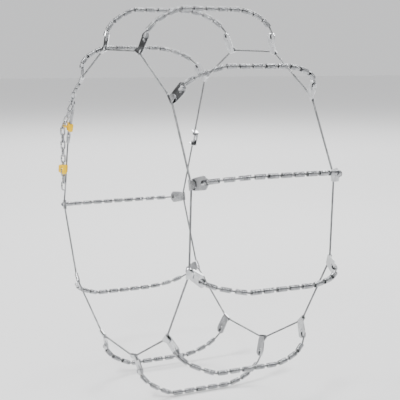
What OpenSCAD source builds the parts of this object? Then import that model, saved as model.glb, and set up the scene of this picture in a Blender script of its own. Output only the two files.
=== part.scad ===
// Tire snow chains: two ring cables joined by cross cables that carry hard coils,
// shaped as they sit on a tyre. The axle runs along Y and the outer face looks to -Y.

/* [Fitted shape] */
// Radius of the side cables at the brackets
side_radius = 277.8; // [250:0.1:300]
// Distance of the side cables from the middle plane
side_offset = 136.6; // [100:0.1:160]
// Half width of the path of the cross cables over the tyre
path_half_width = 139.8; // [100:0.1:170]
// Radius where that path starts, below the side cables
path_base_radius = 241.2; // [220:0.1:260]
// Height of that path up to the tread
path_height = 116.3; // [80:0.1:140]
// Squareness of the path's shoulders, 2 is an ellipse
path_power = 2.94; // [2:0.01:5]
// Places of the cross cables in degrees, which settle unevenly on the tyre
member_angles = [129, 104, 73, 43, 12, -18, -49, -79, -108, -140, -172];

/* [Cables] */
// Diameter of the side cables
side_cable_d = 3.4; // [3:0.1:5]
// Diameter of the cross cables
cross_cable_d = 3.4; // [3:0.1:5]
// Number of flats round a cable
cable_sides = 8; // [8:1:12]

/* [Coils] */
// Number of coils on a cross cable
coils = 11; // [9:1:13]
// Outside diameter of a coil
coil_d = 9.4; // [8:0.1:12]
// Diameter of the wire it is wound from
coil_wire = 2.5; // [2:0.1:3]
// Length of a coil
coil_length = 20.5; // [16:0.5:24]
// Spacing of the coils along the cable
coil_pitch = 24.3; // [20:0.1:30]
// Way along the cable from the outer side cable to the first coil's middle
first_coil = 50.3; // [45:0.1:60]
// First and last coil that turn together on the flat of the tread
tread_first = 3; // [2:1:5]
// Last of those coils
tread_last = 7; // [5:1:8]
// Radius of their straight run over the tread
tread_radius = 356.2; // [330:0.1:380]

/* [Brackets] */
// Thickness of the bracket sheet
sheet = 1.6; // [1.2:0.1:2]
// Half width of the fold round the side cable
fold_half_width = 8.7; // [7:0.1:11]
// Radius inside the fold
fold_radius = 1.8; // [1.8:0.01:2.2]
// Length of the bracket from the side cable
bracket_length = 37.3; // [34:0.1:40]
// Diameter of the hole for the tensioner
tension_hole_d = 5; // [4:0.1:6]
// Distance of that hole from the side cable
tension_hole_at = 24; // [20:0.1:26]
// Diameter of the end stop of a cross cable
stop_d = 5.6; // [5:0.1:6.5]

/* [Chain and hook] */
// Diameter of the link wire
link_wire = 3; // [2.5:0.1:4]
// Inside length of a link
link_inner_length = 13.9; // [12:0.1:16]
// Inside width of a link
link_inner_width = 4.5; // [4:0.1:6]
// Free play between two links
link_play = 0.25; // [0.2:0.05:0.5]
// Diameter of the hook wire
hook_wire = 3.2; // [3:0.1:4]
// Spacing of the two rods of the hook
hook_spacing = 7.2; // [7:0.1:9]
// Length of the hook from its eye to its nose
hook_length = 70; // [60:0.5:80]
// Number of links that hang free
tail_links = 9; // [7:1:11]

/* [Hidden] */
$fn = 48;
eps = 0.01;

// Path of a cross cable in the half plane (radius, y), found by way along it
function signed_power(v, p) = sign(v) * pow(abs(v), p);
function path_point(t) = [
    path_base_radius + path_height * pow(abs(sin(t)), 2 / path_power),
    -path_half_width * signed_power(cos(t), 2 / path_power)
];
path_start = asin(pow((side_radius - path_base_radius) / path_height, path_power / 2));
path_count = 160;
path_table = [
    for (
        i = 0, t = path_start, p = path_point(path_start), s = 0;
        i <= path_count;
        i = i + 1,
        t = path_start + i * (180 - 2 * path_start) / path_count,
        s = s + norm(path_point(t) - p),
        p = path_point(t)
    )
    [s, p[0], p[1]]
];
radius_table = [for (row = path_table) [row[0], row[1]]];
offset_table = [for (row = path_table) [row[0], row[2]]];
path_length = path_table[path_count][0];
function along(s) = [lookup(s, radius_table), lookup(s, offset_table)];

// Gap centres between the coils, and the cable's route through them
gap_way = [for (j = [0:coils]) first_coil + coil_pitch * (j - 0.5)];
gap_points = [
    for (j = [0:coils])
    j < tread_first || j > tread_last + 1 ? along(gap_way[j]) : [tread_radius, along(gap_way[j])[1]]
];
outer_vertex = [side_radius, -side_offset];
inner_vertex = [side_radius, side_offset];
inner_mouth = along(path_length - gap_way[0]);
cross_start = outer_vertex + 29.4 * (gap_points[0] - outer_vertex) / norm(gap_points[0] - outer_vertex);
cross_end = inner_vertex + 29.4 * (inner_mouth - inner_vertex) / norm(inner_mouth - inner_vertex);
cross_route = [for (p = concat([cross_start], gap_points, [inner_mouth, cross_end])) [p[0], p[1], 0]];
bracket_lean = atan2(gap_points[0][1] + side_offset, gap_points[0][0] - side_radius);

// Points of a side cable in the plane of its ring
function polar(r, a) = [r * cos(a), r * sin(a)];
function tangent(a) = [-sin(a), cos(a)];
function fold_ends(a) = [
    polar(side_radius, a) + (fold_half_width + 1) * tangent(a),
    polar(side_radius, a) - (fold_half_width + 1) * tangent(a)
];
function bend(before, at, after, cut) = [
    for (w = [0.02, 0.5, 0.98])
    (1 - w) * (1 - w) * (at + cut * (before - at) / norm(before - at))
    + 2 * w * (1 - w) * at
    + w * w * (at + cut * (after - at) / norm(after - at))
];
function softened(points, cut) = [
    for (i = [0:len(points) - 1])
    each (i == 0 || i == len(points) - 1
        ? [points[i]]
        : bend(points[i - 1], points[i], points[i + 1], cut))
];
function in_plane(points, y) = [for (p = points) [p[0], y, p[1]]];

// Leans of the chain links: first in the plane of the face, then outwards
load_leans = [[55, 0], [37, 0], [18.3, 0], [18.3, -25], [30, -8], [31, -12], [31, -10]];
link_straight = link_inner_length - link_inner_width;
link_pitch = link_inner_length - link_play;
link_side = (link_inner_width + link_wire) / 2;
link_nest = link_pitch - link_straight;
hook_lean = load_leans[2][0];
nose = [-224.8, -side_offset, 171.5];
nose_in_link = 5.7;
function lean_down(a) = [-sin(a[0]) * cos(a[1]), sin(a[1]), -cos(a[0]) * cos(a[1])];

// A link hangs on its neighbour's end: the way between the two end arcs bends
// in the neighbour's plane only, and the link then turns in its own plane
function nest_lean(i, next) = i % 2 == 0 ? [next[0], load_leans[i][1]] : [load_leans[i][0], next[1]];
load_steps = [
    for (i = 0, p = [0, 0, 0]; i < len(load_leans);
        p = p + link_straight * lean_down(load_leans[i])
            + link_nest * lean_down(nest_lean(i, i + 1 < len(load_leans) ? load_leans[i + 1] : [0, 0])),
        i = i + 1)
    p
];
load_start = nose - nose_in_link * lean_down([hook_lean, 0]) - load_steps[2];
last_load = len(load_leans) - 1;
tail_start = load_start + load_steps[last_load]
    + link_straight * lean_down(load_leans[last_load])
    + link_nest * lean_down(nest_lean(last_load, [0, 0]));
hook_eye = nose + hook_length * lean_down([hook_lean, 0]);

// Ferrules: eye hole, body and the end of the cable inside
ferrule_eye_wall = 1.5;
ferrule_body_at = 5.5;
ferrule_body_length = 11;
chain_ferrule_lean = 61;
chain_eye = load_start - (link_side + 0.3) * lean_down(load_leans[0]);
hook_ferrule_lean = 198.3;
function ferrule_axis(lean) = -lean_down([lean, 0]);
function ferrule_cable(eye, lean) = eye + (ferrule_body_at + 3.5) * ferrule_axis(lean);
function ferrule_mouth(eye, lean) = eye + (ferrule_body_at + ferrule_body_length) * ferrule_axis(lean);

// Routes of the two side cables
first_fold = fold_ends(member_angles[0]);
last_fold = fold_ends(member_angles[len(member_angles) - 1] + 360);
ring_points = [for (a = member_angles) each fold_ends(a)];
function flat(p) = [p[0], p[2]];
outer_route = in_plane(softened(concat(
    [flat(ferrule_cable(chain_eye, chain_ferrule_lean)), flat(ferrule_mouth(chain_eye, chain_ferrule_lean))],
    ring_points,
    [[-271, -6], [-263.4, 33], [-256.6, 70]],
    [flat(ferrule_mouth(hook_eye, hook_ferrule_lean)), flat(ferrule_cable(hook_eye, hook_ferrule_lean))]
), 2), -side_offset);
coupler_middle = (first_fold[0] + last_fold[1]) / 2;
coupler_run = (first_fold[0] - last_fold[1]) / norm(first_fold[0] - last_fold[1]);
coupler_lean = atan2(coupler_run[0], coupler_run[1]);
inner_route = in_plane(softened(concat(
    [coupler_middle + 9 * coupler_run],
    ring_points,
    [coupler_middle - 9 * coupler_run]
), 2), side_offset);

// Wire hook in its own frame: x across the rods, y inwards, z from the eye to the nose
rod = hook_spacing / 2;
hook_route = concat(
    softened([
        [0, -7.4, hook_length],
        [0, 3.5, hook_length],
        [rod, 3.5, hook_length - 3.4],
        [rod, 3.5, hook_length - 15],
        [rod, 0, 7.5],
        [rod, 0, rod + 0.4]
    ], 1.6),
    [for (a = [0:22.5:180]) [rod * cos(a), 0, rod - rod * sin(a)]],
    softened([
        [-rod, 0, rod + 0.4],
        [-rod, 0, 7.5],
        [-rod, 3.5, hook_length - 15],
        [-rod, 3.5, hook_length - 9]
    ], 1.6)
);

// A round bar swept along a route, its rings carried along without twist
function unit(v) = v / norm(v);
function route_tangent(p, i) = unit(p[min(i + 1, len(p) - 1)] - p[max(i - 1, 0)]);
function square_to(v, t) = unit(v - (v * t) * t);
function ring_normals(p, up) = [
    for (i = 0, n = square_to(up, route_tangent(p, 0)); i < len(p);
        i = i + 1, n = i < len(p) ? square_to(n, route_tangent(p, i)) : n)
    n
];
module sweep(p, d, sides, up) {
    normals = ring_normals(p, up);
    points = [
        for (i = [0:len(p) - 1], k = [0:sides - 1])
        let (
            t = route_tangent(p, i),
            b = cross(t, normals[i]),
            a = 360 * (k + 0.5) / sides
        )
        p[i] + d / 2 * (cos(a) * normals[i] + sin(a) * b)
    ];
    sides_list = [
        for (i = [0:len(p) - 2], k = [0:sides - 1])
        let (k2 = (k + 1) % sides)
        [i * sides + k, (i + 1) * sides + k, (i + 1) * sides + k2, i * sides + k2]
    ];
    first_cap = [for (k = [0:sides - 1]) k];
    last_cap = [for (k = [sides - 1:-1:0]) (len(p) - 1) * sides + k];
    polyhedron(points = points, faces = concat([first_cap], sides_list, [last_cap]), convexity = 8);
}

// Frames: round the wheel, at a bracket, and along the hook
module on_wheel(a) {
    rotate([0, -a, 0])
        children();
}
module at_bracket(a) {
    on_wheel(a)
        translate([side_radius, -side_offset, 0])
            rotate([0, 0, bracket_lean])
                children();
}
module at_hook() {
    translate(hook_eye)
        rotate([0, hook_lean, 0])
            children();
}
module span(x, y, z) {
    translate([x[0], y[0], z[0]])
        cube([x[1] - x[0], y[1] - y[0], z[1] - z[0]]);
}

// Cables
module outer_side_cable() {
    color([0.74, 0.75, 0.76])
        sweep(outer_route, side_cable_d, cable_sides, [0, 1, 0]);
}
module inner_side_cable() {
    color([0.74, 0.75, 0.76])
        sweep(inner_route, side_cable_d, cable_sides, [0, 1, 0]);
}
module cross_cable(k) {
    color([0.74, 0.75, 0.76])
        on_wheel(member_angles[k - 1])
            sweep(cross_route, cross_cable_d, cable_sides, [0, 0, 1]);
}

// Coils
module coil(i) {
    a = gap_points[i];
    b = gap_points[i + 1];
    translate([(a[0] + b[0]) / 2, (a[1] + b[1]) / 2, 0])
        rotate([0, 0, atan2(b[1] - a[1], b[0] - a[0])])
            rotate([0, 90, 0])
                difference() {
                    cylinder(h = coil_length, d = coil_d, center = true);
                    cylinder(h = coil_length + 1, d = coil_d - 2 * coil_wire, center = true);
                }
}
module tread_coils(k) {
    color([0.82, 0.83, 0.84])
        on_wheel(member_angles[k - 1])
            for (i = [tread_first:tread_last])
                coil(i);
}
module shoulder_coils(k) {
    color([0.82, 0.83, 0.84])
        on_wheel(member_angles[k - 1])
            for (i = [0:coils - 1])
                if (i < tread_first || i > tread_last)
                    coil(i);
}

// Brackets: x runs out along the cross cable, y into the wheel, z along the side cable
leaf_back = fold_radius + sheet;
pocket_from = 28.2;
pocket_to = 34.2;
pocket_radius = stop_d / 2 + 0.15;
module leaf_outline() {
    half = [
        [-eps, fold_half_width], [2, fold_half_width], [6, 10.2], [29, 11.5], [31.4, 11.2],
        [33, 9.8], [34.4, 8], [36.2, 6.6], [bracket_length, 5]
    ];
    last = len(half) - 1;
    polygon(concat(half, [for (i = [0:last]) [half[last - i][0], -half[last - i][1]]]));
}
module fold_profile() {
    intersection() {
        difference() {
            circle(fold_radius + sheet);
            circle(fold_radius);
        }
        translate([-10, -10])
            square([10, 20]);
    }
}
module tab_profile() {
    polygon([
        [-eps, -leaf_back], [3.4, -leaf_back], [10.6, 0.1], [10.6, fold_radius - 0.1],
        [9.9, fold_radius - 0.1], [3, -fold_radius], [-eps, -fold_radius]
    ]);
}
module tab_outline() {
    polygon([
        [-1, -fold_half_width], [2, -fold_half_width], [10.6, -4],
        [10.6, 4], [2, fold_half_width], [-1, fold_half_width]
    ]);
}
module cover_profile(r) {
    circle(r);
    translate([-r, 0])
        square([2 * r, leaf_back]);
}
module along_cable(from, to) {
    translate([from, 0, 0])
        rotate([0, 90, 0])
            linear_extrude(to - from)
                children();
}
module leaf_plate(from, to) {
    translate([0, to, 0])
        rotate([90, 0, 0])
            linear_extrude(to - from)
                children();
}
module bracket() {
    difference() {
        union() {
            linear_extrude(2 * fold_half_width, center = true)
                fold_profile();
            intersection() {
                linear_extrude(2 * fold_half_width, center = true)
                    tab_profile();
                leaf_plate(-6, 6)
                    tab_outline();
            }
            leaf_plate(fold_radius, leaf_back)
                leaf_outline();
            leaf_plate(fold_radius - 0.9, fold_radius + eps)
                translate([tension_hole_at, 0])
                    circle(d = tension_hole_d + 3);
            along_cable(pocket_from, pocket_to)
                cover_profile(pocket_radius + 1.4);
            along_cable(pocket_to - eps, bracket_length)
                cover_profile(fold_radius + sheet);
        }
        leaf_plate(-10, 10)
            translate([tension_hole_at, 0])
                circle(d = tension_hole_d);
        along_cable(pocket_from + 0.3, pocket_to - 0.6)
            union() {
                cover_profile(pocket_radius);
                translate([-pocket_radius, 0])
                    square([2 * pocket_radius, 10]);
            }
        along_cable(pocket_to - 1, bracket_length + 1)
            union() {
                cover_profile(fold_radius + 0.05);
                translate([-fold_radius - 0.05, 0])
                    square([2 * fold_radius + 0.1, 10]);
            }
        leaf_plate(-10, -1)
            union() {
                translate([30.2, 0])
                    circle(1.6);
                translate([32, 0])
                    circle(1.6);
                translate([30.2, -1.6])
                    square([1.8, 3.2]);
            }
    }
}
module outer_brackets() {
    color([0.83, 0.84, 0.85])
        for (a = member_angles)
            at_bracket(a)
                bracket();
}
module inner_brackets() {
    color([0.83, 0.84, 0.85])
        mirror([0, 1, 0])
            for (a = member_angles)
                at_bracket(a)
                    bracket();
}

// Swaged end stops of the cross cables, inside the bracket pockets
module cable_stop() {
    along_cable(28.7, 33.2)
        circle(d = stop_d);
}
module cable_stop_bore() {
    along_cable(29.35, 34)
        circle(d = cross_cable_d + 0.08);
}
module cross_cable_stops() {
    color([0.7, 0.71, 0.72])
        for (side = [0, 1])
            mirror([0, side, 0])
                for (a = member_angles)
                    at_bracket(a)
                        difference() {
                            cable_stop();
                            cable_stop_bore();
                        }
}

// Ferrule: a crimped sleeve with a flat eye, z from the eye to the cable
module ferrule(hole) {
    difference() {
        union() {
            rotate([0, 90, 0])
                linear_extrude(2.6, center = true)
                    union() {
                        circle(hole / 2 + ferrule_eye_wall);
                        translate([-ferrule_body_at - 1, -hole / 2 - ferrule_eye_wall])
                            square([ferrule_body_at + 1, hole + 2 * ferrule_eye_wall]);
                    }
            translate([0, 0, ferrule_body_at])
                cylinder(h = ferrule_body_length, d = 7.6);
        }
        rotate([0, 90, 0])
            cylinder(h = 10, d = hole, center = true);
        translate([0, 0, ferrule_body_at + 3.4])
            cylinder(h = ferrule_body_length, d = side_cable_d + 0.08);
        for (z = [4, 7.5])
            translate([0, 0, ferrule_body_at + z])
                difference() {
                    cylinder(h = 1.6, d = 9);
                    cylinder(h = 1.6, d = 6.8);
                }
    }
}
module chain_ferrule() {
    color([0.78, 0.79, 0.8])
        translate(chain_eye)
            rotate([0, chain_ferrule_lean, 0])
                ferrule(4.6);
}
module hook_ferrule() {
    color([0.78, 0.79, 0.8])
        translate(hook_eye)
            rotate([0, hook_ferrule_lean, 0])
                ferrule(4.6);
}

// Hook and chain
module tension_hook() {
    color([0.8, 0.81, 0.82])
        at_hook()
            sweep(hook_route, hook_wire, 10, [0, 0, 1]);
}
module link() {
    for (s = [-1, 1])
        translate([s * link_side, 0, 0])
            cylinder(h = link_straight, d = link_wire, center = true);
    for (s = [0, 180])
        rotate([0, s, 0])
            translate([0, 0, link_straight / 2])
                rotate([90, 0, 0])
                    rotate_extrude(angle = 180)
                        translate([link_side, 0])
                            circle(d = link_wire);
}
module load_links() {
    color([0.84, 0.85, 0.86])
        for (i = [0:last_load])
            translate(load_start + load_steps[i] + link_straight / 2 * lean_down(load_leans[i]))
                rotate([0, load_leans[i][0], 0])
                    rotate([load_leans[i][1], 0, 0])
                        rotate([0, 0, i % 2 * 90])
                            link();
}
function tail_middle(k) = tail_start - [0, 0, link_pitch * (k - 1) + link_straight / 2];
module tail_link(k) {
    color([0.84, 0.85, 0.86])
        translate(tail_middle(k))
            rotate([0, 0, k % 2 * 90])
                link();
}

// Clips that keep the spare chain: the upper one sits on the hook, the lower one on the chain
function in_hook(p) = let (d = p - hook_eye) [
    d[0] * cos(hook_lean) - d[2] * sin(hook_lean), d[1], d[0] * sin(hook_lean) + d[2] * cos(hook_lean)
];
last_middle = load_start + load_steps[last_load] + link_straight / 2 * lean_down(load_leans[last_load]);
held_leg = in_hook(last_middle + link_side * [cos(load_leans[last_load][0]), 0, -sin(load_leans[last_load][0])]);
arm_height = [in_hook(last_middle)[2] - 2.8, in_hook(last_middle)[2] + 0.8];
module upper_clip() {
    arm = held_leg[0];
    out = held_leg[1];
    color([0.9, 0.78, 0.27])
        at_hook() {
            difference() {
                span([-6.9, 6.9], [-3, 4.7], [8.5, 24]);
                span([-5.5, 5.5], [-1.7, 3.4], [8, 25]);
                span([-2.4, 2.4], [3, 5], [8, 25]);
            }
            span([arm + 2.5, arm + 4.3], [out - 1.8, -2.9], arm_height);
            span([arm - 3.9, arm + 2.6], [out + 2.2, out + 3.6], arm_height);
            span([arm - 3.9, arm - 2.5], [out - 1.8, out + 2.3], arm_height);
        }
}
clip_link = tail_middle(6);
clip_reach = clip_link - [12.9, 0, 7.3];
jaw = -side_offset - clip_link[1];
module lower_clip() {
    color([0.9, 0.78, 0.27])
        difference() {
            union() {
                translate(clip_link)
                    span([-7.1, 7.1], [-3.8, 3.8], [-16.5, 1.5]);
                translate(clip_reach)
                    rotate([0, 10.4, 0]) {
                        span([-3.8, 7.2], [-3.8, 3.8], [-7, 7]);
                        span([-3.8, 3.8], [-3.8, jaw + 1.4], [-7, 7]);
                    }
            }
            translate(clip_link)
                span([-5.5, 5.5], [-1.75, 1.75], [-10.2, 3]);
            translate(clip_link)
                span([-1.75, 1.75], [-6, 6], [-20, -3.4]);
            translate(clip_reach)
                rotate([0, 10.4, 0])
                    span([-2.3, 2.3], [jaw - 2.3, jaw + 2], [-8, 8]);
        }
}

// Closing of the inner side cable: a folded coupler over two swaged beads
module at_coupler() {
    translate([coupler_middle[0], side_offset, coupler_middle[1]])
        rotate([0, coupler_lean, 0])
            children();
}
module inner_coupler() {
    color([0.8, 0.81, 0.82])
        at_coupler()
            difference() {
                union() {
                    span([-7, 7], [4.3, 5.9], [-15, 15]);
                    span([-7, 7], [-4.4, 5.9], [13.4, 15]);
                    span([-7, 7], [-4.4, 5.9], [-15, -13.4]);
                }
                cylinder(h = 40, r = side_cable_d / 2 + 0.2, center = true);
                span([-8, 0], [-side_cable_d / 2 - 0.2, side_cable_d / 2 + 0.2], [10, 20]);
                translate([0, 5, 0])
                    rotate([90, 0, 0])
                        cylinder(h = 4, r = 3.5, center = true);
            }
}
module inner_beads() {
    color([0.7, 0.71, 0.72])
        at_coupler()
            for (s = [0, 180])
                rotate([0, s, 0])
                    difference() {
                        translate([0, 0, 7.8])
                            cylinder(h = 5.4, r = 3.6);
                        translate([0, 0, 8.9])
                            cylinder(h = 6, d = side_cable_d + 0.08);
                    }
}

outer_side_cable();
inner_side_cable();
outer_brackets();
inner_brackets();
cross_cable_stops();
cross_cable(1);  // cross_cable_1
cross_cable(2);  // cross_cable_2
cross_cable(3);  // cross_cable_3
cross_cable(4);  // cross_cable_4
cross_cable(5);  // cross_cable_5
cross_cable(6);  // cross_cable_6
cross_cable(7);  // cross_cable_7
cross_cable(8);  // cross_cable_8
cross_cable(9);  // cross_cable_9
cross_cable(10);  // cross_cable_10
cross_cable(11);  // cross_cable_11
tread_coils(1);  // tread_coils_1
tread_coils(2);  // tread_coils_2
tread_coils(3);  // tread_coils_3
tread_coils(4);  // tread_coils_4
tread_coils(5);  // tread_coils_5
tread_coils(6);  // tread_coils_6
tread_coils(7);  // tread_coils_7
tread_coils(8);  // tread_coils_8
tread_coils(9);  // tread_coils_9
tread_coils(10);  // tread_coils_10
tread_coils(11);  // tread_coils_11
shoulder_coils(1);  // shoulder_coils_1
shoulder_coils(2);  // shoulder_coils_2
shoulder_coils(3);  // shoulder_coils_3
shoulder_coils(4);  // shoulder_coils_4
shoulder_coils(5);  // shoulder_coils_5
shoulder_coils(6);  // shoulder_coils_6
shoulder_coils(7);  // shoulder_coils_7
shoulder_coils(8);  // shoulder_coils_8
shoulder_coils(9);  // shoulder_coils_9
shoulder_coils(10);  // shoulder_coils_10
shoulder_coils(11);  // shoulder_coils_11
chain_ferrule();
hook_ferrule();
tension_hook();
load_links();
upper_clip();
lower_clip();
tail_link(1);  // tail_link_1
tail_link(2);  // tail_link_2
tail_link(3);  // tail_link_3
tail_link(4);  // tail_link_4
tail_link(5);  // tail_link_5
tail_link(6);  // tail_link_6
tail_link(7);  // tail_link_7
tail_link(8);  // tail_link_8
tail_link(9);  // tail_link_9
inner_coupler();
inner_beads();
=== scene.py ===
import math
import random

import bpy
import numpy as np
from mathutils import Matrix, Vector


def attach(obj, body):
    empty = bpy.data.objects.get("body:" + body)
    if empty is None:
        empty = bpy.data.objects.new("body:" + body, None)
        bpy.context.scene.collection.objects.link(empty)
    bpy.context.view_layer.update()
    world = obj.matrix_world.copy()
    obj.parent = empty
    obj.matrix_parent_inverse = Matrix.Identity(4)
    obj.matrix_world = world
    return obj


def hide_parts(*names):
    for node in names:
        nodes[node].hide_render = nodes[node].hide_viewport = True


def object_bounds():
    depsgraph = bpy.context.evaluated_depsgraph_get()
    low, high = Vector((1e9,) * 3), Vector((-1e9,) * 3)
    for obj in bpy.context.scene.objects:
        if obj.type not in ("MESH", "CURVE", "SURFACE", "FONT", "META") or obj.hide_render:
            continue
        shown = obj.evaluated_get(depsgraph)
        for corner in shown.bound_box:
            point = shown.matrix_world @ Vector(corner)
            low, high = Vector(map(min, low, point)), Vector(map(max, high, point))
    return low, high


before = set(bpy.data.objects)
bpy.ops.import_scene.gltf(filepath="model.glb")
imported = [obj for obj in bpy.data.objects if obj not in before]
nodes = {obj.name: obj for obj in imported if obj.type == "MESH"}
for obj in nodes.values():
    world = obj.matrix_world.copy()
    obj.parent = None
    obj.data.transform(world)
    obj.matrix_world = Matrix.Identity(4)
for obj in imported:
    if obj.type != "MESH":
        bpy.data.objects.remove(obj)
cad_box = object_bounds()
random.seed(7)

# ---------------------------------------------------------------- dimensions, in mm, as in the CAD
SIDE_R, SIDE_Y = 277.8, 136.6
SECTION_R, SECTION_DEPTH, SECTION_HALF, SECTION_POWER = 241.2, 116.3, 139.8, 2.94
BRACKET_GRIP = 29.4
FOLD_HALF = 9.7
MEMBERS = [129, 104, 73, 43, 12, -18, -49, -79, -108, -140, -172]
CABLE_D = 3.4
COILS, COIL_D, WIRE, COIL_L, PITCH, FIRST = 11, 9.4, 2.5, 20.5, 24.3, 50.3
TREAD_A, TREAD_B, TREAD_R = 3, 7, 356.2
NOSE = np.array([-224.8, -SIDE_Y, 171.5])
HOOK_LEAN, HOOK_LEN, HOOK_WIRE, ROD = 18.3, 70.0, 3.2, 3.6
LINK_WIRE, LINK_SIDE, STRAIGHT, NEST = 3.0, 3.75, 9.4, 4.25
LEANS = [(55, 0), (37, 0), (18.3, 0), (18.3, -25), (30, -8), (31, -12), (31, -10)]


def rad(a):
    return math.radians(a)


def path_point(t):
    """Radius and y on the tyre section that the cross cables follow."""
    c, s = math.cos(t), math.sin(t)
    bend = 2 / SECTION_POWER
    return np.array([SECTION_R + SECTION_DEPTH * abs(s) ** bend, -SECTION_HALF * math.copysign(abs(c) ** bend, c)])


start = math.asin(((SIDE_R - SECTION_R) / SECTION_DEPTH) ** (SECTION_POWER / 2))
curve = np.array([path_point(start + i * (math.pi - 2 * start) / 160) for i in range(161)])
way = np.concatenate([[0], np.cumsum(np.linalg.norm(np.diff(curve, axis=0), axis=1))])


def along(s):
    return np.array([np.interp(s, way, curve[:, 0]), np.interp(s, way, curve[:, 1])])


gap_way = [FIRST + PITCH * (j - 0.5) for j in range(COILS + 1)]
gaps = [
    np.array([TREAD_R, along(s)[1]]) if TREAD_A <= j <= TREAD_B + 1 else along(s)
    for j, s in enumerate(gap_way)
]
outer_vertex, inner_vertex = np.array([SIDE_R, -SIDE_Y]), np.array([SIDE_R, SIDE_Y])
inner_mouth = along(way[-1] - gap_way[0])


def unit(v):
    return v / np.linalg.norm(v)


cross_route = (
    [outer_vertex + BRACKET_GRIP * unit(gaps[0] - outer_vertex)]
    + gaps
    + [inner_mouth, inner_vertex + BRACKET_GRIP * unit(inner_mouth - inner_vertex)]
)
cross_route = [np.array([p[0], p[1], 0.0]) for p in cross_route]


# ---------------------------------------------------------------- mesh helpers
def frames(p):
    """Tangents and untwisted normals along a route."""
    t = np.gradient(p, axis=0)
    t /= np.linalg.norm(t, axis=1)[:, None]
    ref = np.array([0, 1.0, 0]) if abs(t[0][1]) < 0.8 else np.array([0, 0, 1.0])
    n = np.zeros_like(t)
    n[0] = unit(ref - t[0] * (ref @ t[0]))
    for i in range(1, len(p)):
        v = n[i - 1] - t[i] * (n[i - 1] @ t[i])
        n[i] = unit(v)
    return t, n, np.cross(t, n)


def resample(points, step):
    p = np.array(points, float)
    d = np.concatenate([[0], np.cumsum(np.linalg.norm(np.diff(p, axis=0), axis=1))])
    s = np.linspace(0, d[-1], max(3, int(d[-1] / step) + 1))
    return np.stack([np.interp(s, d, p[:, k]) for k in range(3)], axis=1), s


def eased(points, step, reach):
    """The polyline resampled, with its corners rounded over the given reach."""
    p, s = resample(points, step)
    k = max(1, int(reach / step))
    pad = np.concatenate([np.repeat(p[:1], k, 0), p, np.repeat(p[-1:], k, 0)])
    kernel = np.hanning(2 * k + 3)[1:-1]
    kernel /= kernel.sum()
    q = np.stack([np.convolve(pad[:, i], kernel, "valid") for i in range(3)], axis=1)
    q[0], q[-1] = p[0], p[-1]
    return q, s


class Build:
    """Gathers tubes into one mesh."""

    def __init__(self):
        self.v, self.f, self.n = [], [], 0

    def tube(self, p, radius, sides, closed=False, frame_of=None):
        p = np.asarray(p, float)
        if closed:
            ext = np.concatenate([p[-1:], p, p[:1]])
            t = np.gradient(ext, axis=0)[1:-1]
            t /= np.linalg.norm(t, axis=1)[:, None]
            n = np.tile(frame_of, (len(p), 1))
            b = np.cross(t, n)
        else:
            t, n, b = frames(p)
        r = np.broadcast_to(np.asarray(radius, float), (len(p),))
        a = np.arange(sides) * 2 * math.pi / sides
        ring = (
            p[:, None, :]
            + r[:, None, None]
            * (np.cos(a)[None, :, None] * n[:, None, :] + np.sin(a)[None, :, None] * b[:, None, :])
        )
        self.v.append(ring.reshape(-1, 3))
        count = len(p)
        i = np.arange(count if closed else count - 1)[:, None]
        k = np.arange(sides)[None, :]
        i2, k2 = (i + 1) % count, (k + 1) % sides
        quads = np.stack([i * sides + k, i2 * sides + k, i2 * sides + k2, i * sides + k2], axis=-1).reshape(-1, 4)
        self.f.extend((quads + self.n).tolist())
        if not closed:
            self.f.append([self.n + j for j in range(sides)])
            self.f.append([self.n + (count - 1) * sides + j for j in reversed(range(sides))])
        self.n += count * sides

    def finish(self, name, material, body, replaced, angle=0.0):
        mesh = bpy.data.meshes.new(name)
        mesh.from_pydata((np.concatenate(self.v) * 0.001).tolist(), [], self.f)
        mesh.update()
        mesh.polygons.foreach_set("use_smooth", [len(f) < 5 for f in self.f])
        obj = bpy.data.objects.new(name, mesh)
        obj.rotation_euler = (0, -rad(angle), 0)
        bpy.context.scene.collection.objects.link(obj)
        mesh.materials.append(material)
        bpy.context.view_layer.update()
        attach(obj, body)
        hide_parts(*replaced)
        return obj


def rope(build, points, diameter, lay=21.0, sides=6, step=1.3, reach=2.5):
    """A wire rope: six strands laid round the route."""
    p, s = eased(points, step, reach)
    t, n, b = frames(p)
    strand = diameter / 6
    for k in range(6):
        a = (2 * math.pi * (s / lay + k / 6.0))[:, None]
        build.tube(p + (diameter / 2 - strand) * (np.cos(a) * n + np.sin(a) * b), strand * 1.04, sides)


# ---------------------------------------------------------------- materials
def socket(node, name, value):
    node.inputs[name].default_value = value


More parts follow.
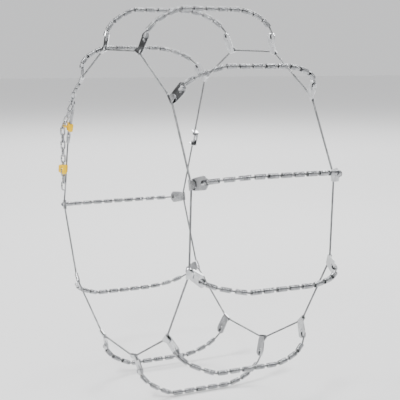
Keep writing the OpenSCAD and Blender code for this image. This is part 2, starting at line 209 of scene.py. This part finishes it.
def metal(name, low, high, rough, grain=900.0, bump=0.12, patch=60.0, metallic=1.0, gloss=0.5,
          stain=(0.2, 0.2, 0.2), stain_from=0.62):
    """Bright zinc: fine grain, cloudy tone and a little dull staining."""
    m = bpy.data.materials.new(name)
    m.use_nodes = True
    nt = m.node_tree
    nt.nodes.clear()
    out = nt.nodes.new("ShaderNodeOutputMaterial")
    sh = nt.nodes.new("ShaderNodeBsdfPrincipled")
    co = nt.nodes.new("ShaderNodeTexCoord")
    cloud = nt.nodes.new("ShaderNodeTexNoise")
    fine = nt.nodes.new("ShaderNodeTexNoise")
    ramp = nt.nodes.new("ShaderNodeValToRGB")
    spots = nt.nodes.new("ShaderNodeValToRGB")
    mix = nt.nodes.new("ShaderNodeMixRGB")
    rr = nt.nodes.new("ShaderNodeMapRange")
    bmp = nt.nodes.new("ShaderNodeBump")
    socket(cloud, "Scale", patch)
    socket(cloud, "Detail", 5.0)
    socket(fine, "Scale", grain)
    socket(fine, "Detail", 3.0)
    ramp.color_ramp.elements[0].position, ramp.color_ramp.elements[1].position = 0.35, 0.7
    ramp.color_ramp.elements[0].color = (*low, 1)
    ramp.color_ramp.elements[1].color = (*high, 1)
    spots.color_ramp.elements[0].position, spots.color_ramp.elements[1].position = stain_from, stain_from + 0.12
    spots.color_ramp.elements[0].color = (0, 0, 0, 1)
    spots.color_ramp.elements[1].color = (0.75, 0.75, 0.75, 1)
    socket(mix, "Color2", (*stain, 1))
    socket(rr, "To Min", rough - 0.08)
    socket(rr, "To Max", rough + 0.14)
    socket(bmp, "Strength", bump)
    socket(bmp, "Distance", 0.0002)
    socket(sh, "Metallic", metallic)
    socket(sh, "Specular IOR Level", gloss)
    for a, b in (
        (co.outputs["Object"], cloud.inputs["Vector"]),
        (co.outputs["Object"], fine.inputs["Vector"]),
        (cloud.outputs["Fac"], ramp.inputs["Fac"]),
        (fine.outputs["Fac"], spots.inputs["Fac"]),
        (ramp.outputs["Color"], mix.inputs["Color1"]),
        (spots.outputs["Color"], mix.inputs["Fac"]),
        (mix.outputs["Color"], sh.inputs["Base Color"]),
        (cloud.outputs["Fac"], rr.inputs["Value"]),
        (rr.outputs["Result"], sh.inputs["Roughness"]),
        (fine.outputs["Fac"], bmp.inputs["Height"]),
        (bmp.outputs["Normal"], sh.inputs["Normal"]),
        (sh.outputs["BSDF"], out.inputs["Surface"]),
    ):
        nt.links.new(a, b)
    return m


cable_m = metal("cable", (0.17, 0.175, 0.18), (0.34, 0.345, 0.35), 0.3, patch=90)
zinc_m = metal("bracket_zinc", (0.42, 0.425, 0.435), (0.66, 0.67, 0.68), 0.22, grain=700, patch=70)
coil_m = metal("coil_steel", (0.26, 0.265, 0.275), (0.5, 0.51, 0.52), 0.15, grain=1100, patch=110,
               stain=(0.12, 0.12, 0.12))
link_m = metal("link_steel", (0.3, 0.305, 0.315), (0.56, 0.57, 0.58), 0.2, patch=90, stain=(0.14, 0.14, 0.14))
hook_m = metal("hook_steel", (0.3, 0.305, 0.315), (0.52, 0.53, 0.54), 0.2, patch=90, stain=(0.14, 0.14, 0.14))
stop_m = metal("stop_steel", (0.06, 0.062, 0.065), (0.13, 0.133, 0.137), 0.4, stain=(0.05, 0.05, 0.05))
alloy_m = metal("ferrule_alloy", (0.32, 0.325, 0.335), (0.5, 0.51, 0.52), 0.28, stain=(0.18, 0.18, 0.18))
clip_m = metal("clip_plastic", (0.84, 0.5, 0.0), (0.95, 0.6, 0.002), 0.58, grain=1500, bump=0.2, patch=45,
               metallic=0.0, gloss=0.15, stain=(0.62, 0.36, 0.0), stain_from=0.66)


# ---------------------------------------------------------------- side cables
def polar(r, a):
    return np.array([r * math.cos(rad(a)), r * math.sin(rad(a))])


def fold_ends(a):
    """Where the cable enters and leaves the bracket's fold."""
    t = np.array([-math.sin(rad(a)), math.cos(rad(a))])
    return [polar(SIDE_R, a) + FOLD_HALF * t, polar(SIDE_R, a) - FOLD_HALF * t]


def lean_down(a, b=0.0):
    """Direction down the chain, leant a degrees in the ring's plane and b degrees across it."""
    return np.array([-math.sin(rad(a)) * math.cos(rad(b)), math.sin(rad(b)), -math.cos(rad(a)) * math.cos(rad(b))])


def nest_lean(i, nxt):
    """Where link i turns into the next one: each bends only in its own plane."""
    return (nxt[0], LEANS[i][1]) if i % 2 == 0 else (LEANS[i][0], nxt[1])


steps = [np.zeros(3)]
for i in range(len(LEANS)):
    nxt = LEANS[i + 1] if i + 1 < len(LEANS) else (0, 0)
    steps.append(steps[-1] + STRAIGHT * lean_down(*LEANS[i]) + NEST * lean_down(*nest_lean(i, nxt)))
load_start = NOSE - 5.7 * lean_down(HOOK_LEAN) - steps[2]
tail_start = load_start + steps[-1]
hook_eye = NOSE + HOOK_LEN * lean_down(HOOK_LEAN)
chain_eye = load_start - (LINK_SIDE + 0.3) * lean_down(*LEANS[0])


def ferrule_points(eye, lean):
    axis = -lean_down(lean)
    return (eye + 9 * axis)[[0, 2]], (eye + 16.5 * axis)[[0, 2]]


ring = [q for a in MEMBERS for q in fold_ends(a)]
c_in, c_out = ferrule_points(chain_eye, 61)
h_in, h_out = ferrule_points(hook_eye, 198.3)
run_up = [np.array(q, float) for q in ((-271, -6), (-263.4, 33), (-256.6, 70))]
outer_flat = [c_in, c_out] + ring + run_up + [h_out, h_in]
middle = (fold_ends(129)[0] + fold_ends(-172)[1]) / 2
run = unit(fold_ends(129)[0] - fold_ends(-172)[1])
inner_flat = [middle + 9 * run] + ring + [middle - 9 * run]
for name, flat, y in (("outer_side_cable", outer_flat, -SIDE_Y), ("inner_side_cable", inner_flat, SIDE_Y)):
    b = Build()
    rope(b, [(q[0], y, q[1]) for q in flat], CABLE_D)
    b.finish("rope_" + name, cable_m, "chain_set", [name])


# ---------------------------------------------------------------- cross cables and wound coils
def coil(build, i):
    a, c = gaps[i], gaps[i + 1]
    mid = np.array([*(a + c) / 2, 0.0])
    ax = np.array([*unit(c - a), 0.0])
    u, w = np.array([-ax[1], ax[0], 0.0]), np.array([0, 0, 1.0])
    turns = (COIL_L - WIRE) / WIRE
    count = int(turns * 22)
    s = np.linspace(0, 1, count)
    ang = (2 * math.pi * turns * s + random.uniform(0, 2 * math.pi))[:, None]
    r = (COIL_D - WIRE) / 2
    p = mid + ((s - 0.5) * (COIL_L - WIRE))[:, None] * ax + r * (np.cos(ang) * u + np.sin(ang) * w)
    build.tube(p, WIRE / 2 * 0.985, 8)


for k, a in enumerate(MEMBERS, 1):
    b = Build()
    rope(b, cross_route, CABLE_D, sides=5, step=1.5, reach=2.0)
    b.finish(f"rope_cross_{k}", cable_m, "chain_set", [f"cross_cable_{k}"], a)
    b = Build()
    for i in range(TREAD_A, TREAD_B + 1):
        coil(b, i)
    b.finish(f"wound_tread_{k}", coil_m, f"tread_run_{k}", [f"tread_coils_{k}"], a)
    b = Build()
    for i in [*range(TREAD_A), *range(TREAD_B + 1, COILS)]:
        coil(b, i)
    b.finish(f"wound_shoulder_{k}", coil_m, "chain_set", [f"shoulder_coils_{k}"], a)


# ---------------------------------------------------------------- welded links
def link(build, centre, a, b, spin):
    """A link with its weld bead, length along local z."""
    down = lean_down(a, b)
    z = -down
    x = np.array([math.cos(rad(a)), 0, -math.sin(rad(a))])
    y = np.cross(z, x)
    if spin:
        x, y = y, -x
    pts, radii = [], []
    for end in (1, -1):
        for q in np.linspace(0, math.pi, 15):
            pts.append((end * LINK_SIDE * math.cos(q), end * (STRAIGHT / 2 + LINK_SIDE * math.sin(q))))
            radii.append(LINK_WIRE / 2)
        if end == 1:
            for h in np.linspace(STRAIGHT / 2, -STRAIGHT / 2, 14)[1:-1]:
                pts.append((-LINK_SIDE, h))
                radii.append(LINK_WIRE / 2 + 0.28 * math.exp(-((h / 1.0) ** 2)))
    for h in np.linspace(-STRAIGHT / 2, STRAIGHT / 2, 4)[1:-1]:
        pts.append((LINK_SIDE, h))
        radii.append(LINK_WIRE / 2)
    p = np.array([centre + q[0] * x + q[1] * z for q in pts])
    build.tube(p, radii, 12, closed=True, frame_of=y)


b = Build()
for i, (la, lb) in enumerate(LEANS):
    link(b, load_start + steps[i] + STRAIGHT / 2 * lean_down(la, lb), la, lb, i % 2)
b.finish("welded_load_links", link_m, "chain_set", ["load_links"])
for k in range(1, 10):
    b = Build()
    link(b, tail_start - np.array([0, 0, (STRAIGHT + NEST) * (k - 1) + STRAIGHT / 2]), 0, 0, k % 2)
    body = "tail_6" if k == 7 else f"tail_{k}"
    b.finish(f"welded_tail_link_{k}", link_m, body, [f"tail_link_{k}"])

# ---------------------------------------------------------------- wire hook
route = [(0, -7.4, HOOK_LEN), (0, 3.5, HOOK_LEN), (ROD, 3.5, HOOK_LEN - 3.4), (ROD, 3.5, HOOK_LEN - 15)]
route += [(ROD, 0, 7.5)]
route += [(ROD * math.cos(rad(q)), 0, ROD - ROD * math.sin(rad(q))) for q in range(0, 181, 10)]
route += [(-ROD, 0, 7.5), (-ROD, 3.5, HOOK_LEN - 15), (-ROD, 3.5, HOOK_LEN - 9)]
ux, uz = np.array([math.cos(rad(HOOK_LEAN)), 0, -math.sin(rad(HOOK_LEAN))]), -lean_down(HOOK_LEAN)
p, s = eased([hook_eye + q[0] * ux + np.array([0, q[1], 0]) + q[2] * uz for q in route], 0.5, 1.2)
radii = np.full(len(p), HOOK_WIRE / 2)
for j in range(4):
    radii[j] = radii[-1 - j] = HOOK_WIRE / 2 * (0.72 + 0.07 * j)
b = Build()
b.tube(p, radii, 16)
b.finish("bent_wire_hook", hook_m, "hook", ["tension_hook"])

# ---------------------------------------------------------------- CAD nodes that stay
for name, mat, width in (
    ("outer_brackets", zinc_m, 0.3),
    ("inner_brackets", zinc_m, 0.3),
    ("inner_coupler", zinc_m, 0.3),
    ("cross_cable_stops", stop_m, 0.25),
    ("inner_beads", stop_m, 0.25),
    ("chain_ferrule", alloy_m, 0.3),
    ("hook_ferrule", alloy_m, 0.3),
    ("upper_clip", clip_m, 0.35),
    ("lower_clip", clip_m, 0.5),
):
    o = nodes[name]
    for i in range(len(o.material_slots)):
        o.material_slots[i].material = mat
    bev = o.modifiers.new("edge", "BEVEL")
    bev.width = width * 0.001
    bev.segments = 2
    bev.limit_method = "ANGLE"
    bev.angle_limit = rad(35)
    bev.harden_normals = True


# ---------------------------------------------------------------- floor, light, camera
def plain(name, color, rough):
    m = bpy.data.materials.new(name)
    m.use_nodes = True
    sh = m.node_tree.nodes["Principled BSDF"]
    socket(sh, "Base Color", (*color, 1))
    socket(sh, "Roughness", rough)
    return m


bpy.ops.mesh.primitive_plane_add(size=60, location=(0, 0, cad_box[0][2] - 0.002))
floor = bpy.context.object
floor.name = "floor"
pale = plain("floor_pale", (0.9, 0.9, 0.9), 0.9)
socket(pale.node_tree.nodes["Principled BSDF"], "Specular IOR Level", 0.1)
floor.data.materials.append(pale)

world = bpy.data.worlds.new("studio")
bpy.context.scene.world = world
world.use_nodes = True
bg = world.node_tree.nodes["Background"]
socket(bg, "Strength", 1.9)
# a pale horizon and a bright ceiling with a darker band between them, which draws the dark lines in the metal
sky = world.node_tree.nodes.new("ShaderNodeTexCoord")
split = world.node_tree.nodes.new("ShaderNodeSeparateXYZ")
band = world.node_tree.nodes.new("ShaderNodeValToRGB")
tones = ((0.0, 0.46), (0.07, 0.46), (0.15, 0.05), (0.68, 0.05), (0.78, 0.9), (1.0, 1.0))
while len(band.color_ramp.elements) < len(tones):
    band.color_ramp.elements.new(0.5)
for e, (at, tone) in zip(band.color_ramp.elements, tones):
    e.position = at
    e.color = (tone * 0.985, tone * 0.99, tone, 1)
world.node_tree.links.new(sky.outputs["Generated"], split.inputs[0])
world.node_tree.links.new(split.outputs["Z"], band.inputs["Fac"])
world.node_tree.links.new(band.outputs["Color"], bg.inputs["Color"])


def area(name, place, target, size, power):
    light = bpy.data.lights.new(name, "AREA")
    light.size = size
    light.energy = power
    o = bpy.data.objects.new(name, light)
    bpy.context.scene.collection.objects.link(o)
    o.location = place
    o.rotation_euler = (Vector(target) - Vector(place)).to_track_quat("-Z", "Y").to_euler()


area("key", (0.9, -1.7, 1.9), (0, 0, 0), 0.7, 70)
area("fill", (2.4, 1.1, 1.3), (0, 0, 0), 1.2, 24)
area("rim", (-1.6, 1.2, 2.0), (0, 0, 0), 1.0, 40)
area("floor_wash", (-4.2, 2.3, 3.6), (-4.2, 2.3, -0.3), 4.0, 260)

cam = bpy.data.cameras.new("camera")
cam.sensor_width = 36.0
cam.lens = 36.0 * 1060.7 / 400.0
cam.clip_end = 50
eye = bpy.data.objects.new("camera", cam)
bpy.context.scene.collection.objects.link(eye)
eye.location = (1.7382, -0.9142, 0.2550)
eye.rotation_euler = (rad(90 - 7.58), 0, rad(61.55))
bpy.context.scene.camera = eye
